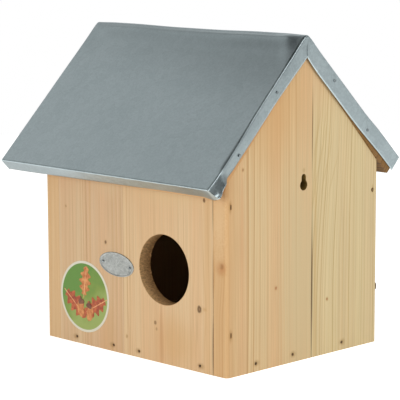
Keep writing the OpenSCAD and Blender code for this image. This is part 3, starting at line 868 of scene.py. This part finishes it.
def makeRoofSheet(look):
    look = {**look, **roofPlanes(look)}
    stations = roofStations(look)
    mesh = bmesh.new()
    grid, across = makeSlopes(mesh, look, stations)
    corners = {1: makeEaveLip(mesh, look, 1, grid[0], across),
               -1: makeEaveLip(mesh, look, -1, grid[-1], across)}
    for end, last in ((-1, 0), (1, -1)):
        rows = makeRakeLip(mesh, look, end, [row[last] for row in grid], stations)
        for side, place in ((1, 0), (-1, -1)):  # the lips' ends are joined round the corners
            eave = corners[side][last]
            rake = [line[place] for line in rows]
            for a, b, c, d in zip(eave[1:], eave[2:], rake[1:], rake):
                mesh.faces.new((a, b, c, d))
            mesh.faces.new((eave[0], eave[1], rake[0]))

    bmesh.ops.remove_doubles(mesh, verts=mesh.verts, dist=0.01)
    bmesh.ops.dissolve_degenerate(mesh, edges=mesh.edges, dist=0.005)
    for vert in mesh.verts:
        vert.co *= mm
    bmesh.ops.recalc_face_normals(mesh, faces=mesh.faces)
    top = max(mesh.faces, key=lambda f: f.calc_center_median().z)
    if top.normal.z < 0:
        bmesh.ops.reverse_faces(mesh, faces=mesh.faces)
    piece = meshObject("zinc_roof_sheet", mesh, zincMaterial("hot-dip zinc sheet", zinc),
                       replaces=["roof_sheet"], smooth=50)
    modifier(piece, "SOLIDIFY", thickness=look["gauge"] * mm, offset=-1)


makeRoofSheet(roof)
print("roof sheet made")


# Turned parts: nails, tacks and pins. A profile is a list of (radius, height) from tip to head, in mm.
def turned(mesh, profile, placing, segments=24):
    rings = []
    for radius, height in profile:
        if radius < 1e-6:
            rings.append([mesh.verts.new(placing @ Vector((0, 0, height * mm)))])
            continue
        rings.append([mesh.verts.new(placing @ (Vector((radius * u, radius * v, height)) * mm))
                      for u, v in around(segments)])
    for a, b in zip(rings, rings[1:]):
        for i in range(segments):
            j = (i + 1) % segments
            corners = ([a[0], b[j], b[i]] if len(a) == 1 else [a[i], a[j], b[0]] if len(b) == 1
                       else [a[i], a[j], b[j], b[i]])
            mesh.faces.new(corners)


def nailProfile(shank, head, thick, length, proud=0):
    # a wire nail: ground point, straight shank, bevelled head with a shallow struck dimple
    r, big = shank / 2, head / 2
    return [(0, -length), (r * 0.35, -length + shank * 0.5), (r, -length + shank * 1.6),
            (r, -thick * 1.5), (big * 0.9, -thick), (big, -thick * 0.72), (big, -thick * 0.3),
            (big * 0.9, proud - 0.03), (big * 0.55, proud), (big * 0.3, proud - 0.05),
            (0, proud - 0.09)]


def along(direction, point):
    # placing that puts a turned part's head side along a direction, at a point in mm
    turn = Vector(direction).to_track_quat("Z", "Y").to_matrix().to_4x4()
    return Matrix.Translation(Vector(point) * mm) @ turn


def steelMaterial(name, look):
    # drawn steel wire: dark grey, oiled, with brown flecks of rust where it is old
    material, add = newMaterial(name)
    grime = add("TexNoise", millimetres(add), {"Scale": 1.1, "Detail": 4})[0]
    colour = add("ValToRGB", grime, stops=[(0.38, look["dark"]), (0.62, look["light"])])[0]
    rough = add("MapRange", grime, 0.3, 0.7, look["rough"], look["rough"] + 0.15)
    surface(add, colour, rough, (0.4, 0.1, grime), metal=look["metal"])
    return material


nails = {
    "steel": {"dark": "#3a2816", "light": "#7a5e3c", "rough": 0.6, "metal": 0.2},
    "brads": {"dark": "#4a3018", "light": "#8a6a40", "rough": 0.6, "metal": 0.2},
    "tack": {"dark": "#6d7578", "light": "#aab3b5", "rough": 0.35, "metal": 1},
    "shank": 1.8, "head": 2.3, "headThick": 1, "grip": 20,
    "pivotShank": 2.6, "pivotGrip": 17, "tackHead": 3.2, "tackProud": 0.6,
    "brad": (1.1, 5.4),  # width and height of a brad's head
    # where they sit: across or up a wall, and for the tacks the sheet's ends, then the slope, how deep in the
    # board's end, how far down the slope and how far the right lip stands off there
    "front": (-86.2, -30.3, 7.5, 93.5), "frontUp": 6.5, "floor": (-68.6, -16.2, 57), "floorUp": 8,
    "bradAcross": -103, "bradUp": (41.2, 164.8), "pivot": (103, 159),
    "roofAcross": (-121, 121), "roofDown": (42, 120), "rakeFace": {1: 133.02, -1: -170.02},
    "rake": ((-1, 4.2, 67, 0), (-1, 4.2, 143.5, 1.4), (1, 3.2, 60.5, 0), (1, 3.2, 134, 0)),
}


def makeNails(look):
    steel = steelMaterial("drawn steel wire nails", look["steel"])
    zincTack = steelMaterial("zinc-plated tacks", look["tack"])
    rusty = steelMaterial("rust-browned brads", look["brads"])
    shank, grip, gable = look["shank"], look["grip"], walls["gable"]
    wire = partial(nailProfile, shank, look["head"], look["headThick"])
    tack = nailProfile(shank, look["tackHead"], look["tackProud"], grip, look["tackProud"])
    roofPoint = partial(slopePoint, walls["pitch"], walls["boardPeak"])

    def group(name, replaced, material, profile, out, spots):
        # one piece of identical nails: a turned profile, or a brad's length and shank
        mesh = bmesh.new()
        for spot in spots:
            if len(profile) == 2:
                makeBrad(mesh, look["brad"], out, spot, *profile)
            else:
                turned(mesh, profile, along(out, spot))
        meshObject(name, mesh, material, replaces=[replaced])

    group("nails_front", "floor_nails_front", steel, wire(walls["boardFront"] + grip), (0, -1, 0),
          [(x, walls["front"], look["frontUp"]) for x in look["front"]])
    for side, end in ((1, "right"), (-1, "left")):
        out, face = (side, 0, 0), side * walls["halfWidth"]
        group("nails_floor_" + end, "floor_nails_" + end, steel, wire(gable + grip), out,
              [(face, y, look["floorUp"]) for y in look["floor"]])
        group("brads_" + end, "wall_nails_" + end, rusty, (gable + grip, shank), out,
              [(face, look["bradAcross"], z) for z in look["bradUp"]])
        group("tacks_rake_" + end, "rake_nails_" + end, zincTack, tack, out,
              [(look["rakeFace"][side] + lift * (side > 0), *roofPoint(slope, s, deep))
               for slope, deep, s, lift in look["rake"]])
        group("pivot_nail_" + end, "door_pivot_nail_" + end, rusty, (gable + look["pivotGrip"],
              look["pivotShank"]), out, [(face, *look["pivot"])])

    mesh = bmesh.new()
    for slope in (-1, 1):
        p = slope * radians(walls["pitch"])
        for x in look["roofAcross"]:
            for s in look["roofDown"]:
                turned(mesh, wire(walls["roof"] + grip),
                       along((0, sin(p), cos(p)), (x, *roofPoint(slope, s, 0))))
    meshObject("nails_roof", mesh, steel, replaces=["roof_nails"])


def makeBrad(mesh, head, out, place, length, shank):
    # a narrow-headed brad driven just under the face
    r = shank / 2
    profile = [(0, -length), (r * 0.3, -length + 1), (r, -length + 3), (r, -1.2), (r * 0.6, -0.8), (0, -0.8)]
    turned(mesh, profile, along(out, place), 16)
    outline = [(head[0] / 2 * copysign(abs(u) ** 0.6, u), head[1] / 2 * copysign(abs(v) ** 0.6, v))
               for u, v in around(20)]
    rings = [[mesh.verts.new((Vector(place) + Vector((out[0] * depth, u * k, v * k))) * mm)
              for u, v in outline]
             for depth, k in ((-1, 0.96), (-0.25, 1), (-0.12, 0.96), (-0.08, 0.8))]
    bridge(mesh, rings, capped=True)


makeNails(nails)
print("nails made")


# Oval plate: pressed zinc sheet with a rolled rim and a lightly hammered, bare field
plate = {
    "centre": (-24.3, 90.3), "size": (50.7, 24.2), "thick": 0.8, "tilt": 2.9, "pins": 39.6,
    "pinShank": 1.2, "pinHead": 2.8, "pinGrip": 9, "sides": 96,
    "zinc": {"dark": "#8f928e", "light": "#c6c9c6", "rough": (0.42, 0.55), "bump": 0.5,
             "cloud": 9, "mottle": 1.6, "spangle": 3},
}


def makePlate(look):
    across, up = look["centre"]
    placing = Matrix.Translation(Vector((across, walls["front"], up)) * mm)
    placing = placing @ Matrix.Rotation(radians(look["tilt"]), 4, "Y")
    a, b = look["size"][0] / 2, look["size"][1] / 2
    mesh = bmesh.new()

    def ring(share, height, hammered=0):
        line = []
        for u, v in around(look["sides"]):
            x, z = a * share * u, b * share * v
            beat = hammered * noise.noise(Vector((x / 2.1, z / 2.1, 4)))
            line.append(mesh.verts.new(placing @ (Vector((x, -(height + beat), z)) * mm)))
        return line

    thick = look["thick"]
    edge = ((0.97, 0), (0.995, 0.12), (1, 0.3), (0.995, thick - 0.25), (0.975, thick - 0.04),
            (0.955, thick), (0.93, thick - 0.06), (0.905, thick - 0.26))
    field = (0.86, 0.8, 0.73, 0.66, 0.59, 0.52, 0.45, 0.38, 0.31, 0.24, 0.17, 0.1, 0.05)
    rings = [ring(*place) for place in edge] + [ring(share, thick - 0.3, 0.16) for share in field]
    bridge(mesh, rings, capped=True)
    meshObject("oval_plate", mesh, zincMaterial("pressed zinc plate", look["zinc"]),
               replaces=["name_plate"])

    mesh = bmesh.new()
    r, head, grip = look["pinShank"] / 2, look["pinHead"] / 2, look["pinGrip"]
    profile = [(0, -grip), (r, -grip + 1.5), (r, thick), (head * 0.94, thick), (head, thick + 0.12),
               (head * 0.9, thick + 0.3), (head * 0.6, thick + 0.44), (0, thick + 0.5)]
    for end in (-1, 1):
        turned(mesh, profile, placing @ along((0, -1, 0), (end * look["pins"] / 2, 0, 0)))
    meshObject("plate_pin_heads", mesh, steelMaterial("plate pins", nails["tack"]),
               replaces=["plate_pins"])


makePlate(plate)


# Round label: printed film, a cream edge round a soft green ground with oak leaves and acorns
label = {
    "centre": (-73, 50.3), "size": 74, "thick": 0.4,
    "print": {"leaf": 0.1, "rib": 0.2, "nut": 0.2, "cup": 0.32},  # how far each kind stands off the film
    "edge": "#dcd8c4", "edgeWidth": 2.6,
    "greens": ["#5f8a34", "#7c933c", "#97a85a"],
    "inks": {"russet": ("#94381c", "#c96a3a"), "amber": ("#b4602c", "#dd9a5c"),
             "brown": ("#5f3220", "#8f5a3a"), "pale": ("#d98f5c", "#efc08c")},
    # kind, ink, centre across and up from the label's middle, length, degrees from upright
    "motifs": [
        ("leaf", "russet", (-13.5, -9.5), 37, 128), ("leaf", "russet", (15.5, -8.5), 35, -118),
        ("leaf", "amber", (1, 16.5), 30, 8), ("nut", "amber", (-6.2, -13.5), 17, 168),
        ("nut", "amber", (8, -16.5), 16, 196), ("cup", "brown", (-5, -6.6), 10.5, 168),
        ("cup", "brown", (6.4, -9.6), 10, 196)],
}


def inkMaterial(name, dark, light):
    # offset ink on coated film: even colour with a soft screen grain under a faint satin
    material, add = newMaterial("printed film " + name)
    wash = add("TexNoise", millimetres(add), {"Scale": 1 / 5, "Detail": 4, "Roughness": 0.6})[0]
    colour = add("ValToRGB", wash, stops=[(0.36, dark), (0.64, light)])[0]
    surface(add, colour, 0.45)
    return material


def motifOutline(kind, length):
    # half widths from foot to tip, in mm
    if kind == "leaf":
        line = [(0.35, -0.62), (0.35, -0.5)]
        for i in range(60):
            t = i / 59
            lobes = 0.74 + 0.26 * cos(2 * pi * (t * 4.2 + 0.1))
            wide = length * 0.3 * sin(pi * (t * 0.92 + 0.08)) ** 0.6 * lobes
            line.append((max(wide, 0.1), t - 0.48))
    elif kind == "rib":
        line = [(0.4, -0.6), (0.45, -0.2), (0.3, 0.2), (0.1, 0.44)]
    elif kind == "nut":
        angles = [radians(-88 + 176 * i / 24) for i in range(25)]
        line = [(length * 0.3 * cos(a) ** 0.85, 0.5 * sin(a)) for a in angles]
        line.append((0.1, 0.56))
    else:
        angles = [radians(-80 + 168 * i / 20) for i in range(21)]
        line = [(0.5, -0.62)]
        line += [(length * 0.42 * cos(a) ** 0.7, (0.34 if a < 0 else 0.16) * sin(a)) for a in angles]
    return [(wide, up * length) for wide, up in line]


def makeMotif(index, kind, spot, length, angle, look, material):
    # a flat figure, thin and closed, laid on the label
    mesh = bmesh.new()
    across, up = look["centre"]
    base = Vector((across + spot[0], walls["front"] - look["thick"], up + spot[1]))
    turn = Matrix.Rotation(radians(angle), 3, "Y")
    raised = look["print"][kind] + 0.01 * index
    rungs = []
    for wide, high in motifOutline(kind, length):
        corners = ((-wide, 0.05), (wide, 0.05), (wide, -raised), (-wide, -raised))
        rungs.append([mesh.verts.new((base + turn @ Vector((x, y, high))) * mm) for x, y in corners])
    bridge(mesh, rungs, capped=True)
    meshObject("label_%s_%d" % (kind, index), mesh, material)


def makeLabel(look):
    radius, thick = look["size"] / 2, look["thick"]
    centre = Vector((look["centre"][0], walls["front"], look["centre"][1]))
    placing = Matrix.Translation(centre * mm)
    material, add = newMaterial("printed label film")  # coated film: flat print under a faint satin
    place = add("Mapping TEXTURE", add("TexCoord")["Object"], {"Location": list(centre * mm)})
    place = add("VectorMath MULTIPLY", place, (1000, 0, 1000))
    far = add("VectorMath LENGTH", place)
    part = add("SeparateXYZ", place)
    blur = add("TexNoise", place, {"Scale": 1 / 22, "Detail": 2})[0]
    slope = add("Math MULTIPLY_ADD", part[2], -1 / 80, blur)
    slope = add("Math MULTIPLY_ADD", part[0], 1 / 140, slope)
    green = add("ValToRGB", slope, stops=list(zip((0.25, 0.5, 0.85), look["greens"])))[0]
    rim = add("MapRange", far, radius - look["edgeWidth"] - 0.15, radius - look["edgeWidth"] + 0.15)
    colour = add("MixRGB", rim, green, look["edge"])
    surface(add, colour, 0.45)

    mesh = bmesh.new()
    profile = [(0, 0), (radius - 0.1, 0), (radius, 0.1), (radius, thick - 0.12), (radius - 0.12, thick),
               (0, thick)]
    turned(mesh, profile, placing @ along((0, -1, 0), (0, 0, 0)), 96)
    meshObject("round_label", mesh, material, replaces=["picture_label"])

    inks = {name: inkMaterial(name, *shades) for name, shades in look["inks"].items()}
    for i, (kind, ink, spot, length, angle) in enumerate(look["motifs"]):
        makeMotif(i, kind, spot, length, angle, look, inks[ink])
        if kind == "leaf":  # a pale midrib
            makeMotif(i, "rib", spot, length, angle, look, inks["pale"])


makeLabel(label)
print("plate and label made")


# Latch: bent steel wire, turned down beside the door, and a bent wire staple in the corner beside it
latch = {"x": 116, "z": 61, "armY": 110.6, "end": 52, "wire": 2.4, "screw": 89, "bend": 2.2,
         "steel": {"dark": "#6e6a62", "light": "#a19c92", "rough": 0.35, "metal": 1}}
staple = {"x": 128, "low": 54.8, "high": 61, "crownY": 111.3, "legY": 96, "wire": 1.7, "bend": 1.5}


def bentWire(path, radius, count=20):
    # a round wire swept along points and headings that lie in one upright plane, with round ends
    mesh = bmesh.new()
    sideways = Vector((1, 0, 0))

    def ring(point, heading, size):
        out = heading.cross(sideways)
        return [mesh.verts.new((point + size * (u * sideways + v * out)) * mm) for u, v in around(count)]

    path = [(Vector(point), Vector(heading)) for point, heading in path]
    rings = [ring(point, heading, radius) for point, heading in path]
    (start, first), (end, last) = path[0], path[-1]
    for step in (30, 60):
        a = radians(step)
        reach, size = radius * sin(a), radius * cos(a)
        rings.insert(0, ring(start - first * reach, first, size))
        rings.append(ring(end + last * reach, last, size))
    bridge(mesh, rings)
    for line, tip in ((rings[0], start - first * radius), (rings[-1], end + last * radius)):
        tip = mesh.verts.new(tip * mm)
        for i in range(count):
            mesh.faces.new((line[i], line[(i + 1) % count], tip))
    return mesh


def bendPoints(x, y, z, bend, start):
    # a quarter turn of the wire downwards: into the crown (start 0) or back out of it (start 90)
    points = []
    for i in range(9):
        a = radians(start + 90 * i / 8)
        place = (x, y - bend + bend * sin(a), z + bend * cos(a))
        points.append((place, (0, cos(a), -sin(a))))
    return points


def makeLatch(look):
    x, z, bend = look["x"], look["z"], look["bend"]
    path = [((x, look["screw"] + t, z), (0, 1, 0)) for t in (1.5, 6, 12, 17)]
    path += bendPoints(x, look["armY"], z - bend, bend, 0)
    path.append(((x, look["armY"], look["end"] + look["wire"] / 2), (0, 0, -1)))
    meshObject("latch_wire", bentWire(path, look["wire"] / 2),
               steelMaterial("zinc-plated wire", look["steel"]), body="latch",
               replaces=["latch_hook"])


def makeStaple(look):
    x, bend = look["x"], look["bend"]
    path = [((x, look["legY"], look["high"]), (0, 1, 0))]
    path += bendPoints(x, look["crownY"], look["high"] - bend, bend, 0)
    path += bendPoints(x, look["crownY"], look["low"] + bend, bend, 90)
    path.append(((x, look["legY"], look["low"]), (0, -1, 0)))
    meshObject("latch_corner_staple", bentWire(path, look["wire"] / 2),
               steelMaterial("old steel staple", nails["steel"]))


makeLatch(latch)
makeStaple(staple)
print("latch made")
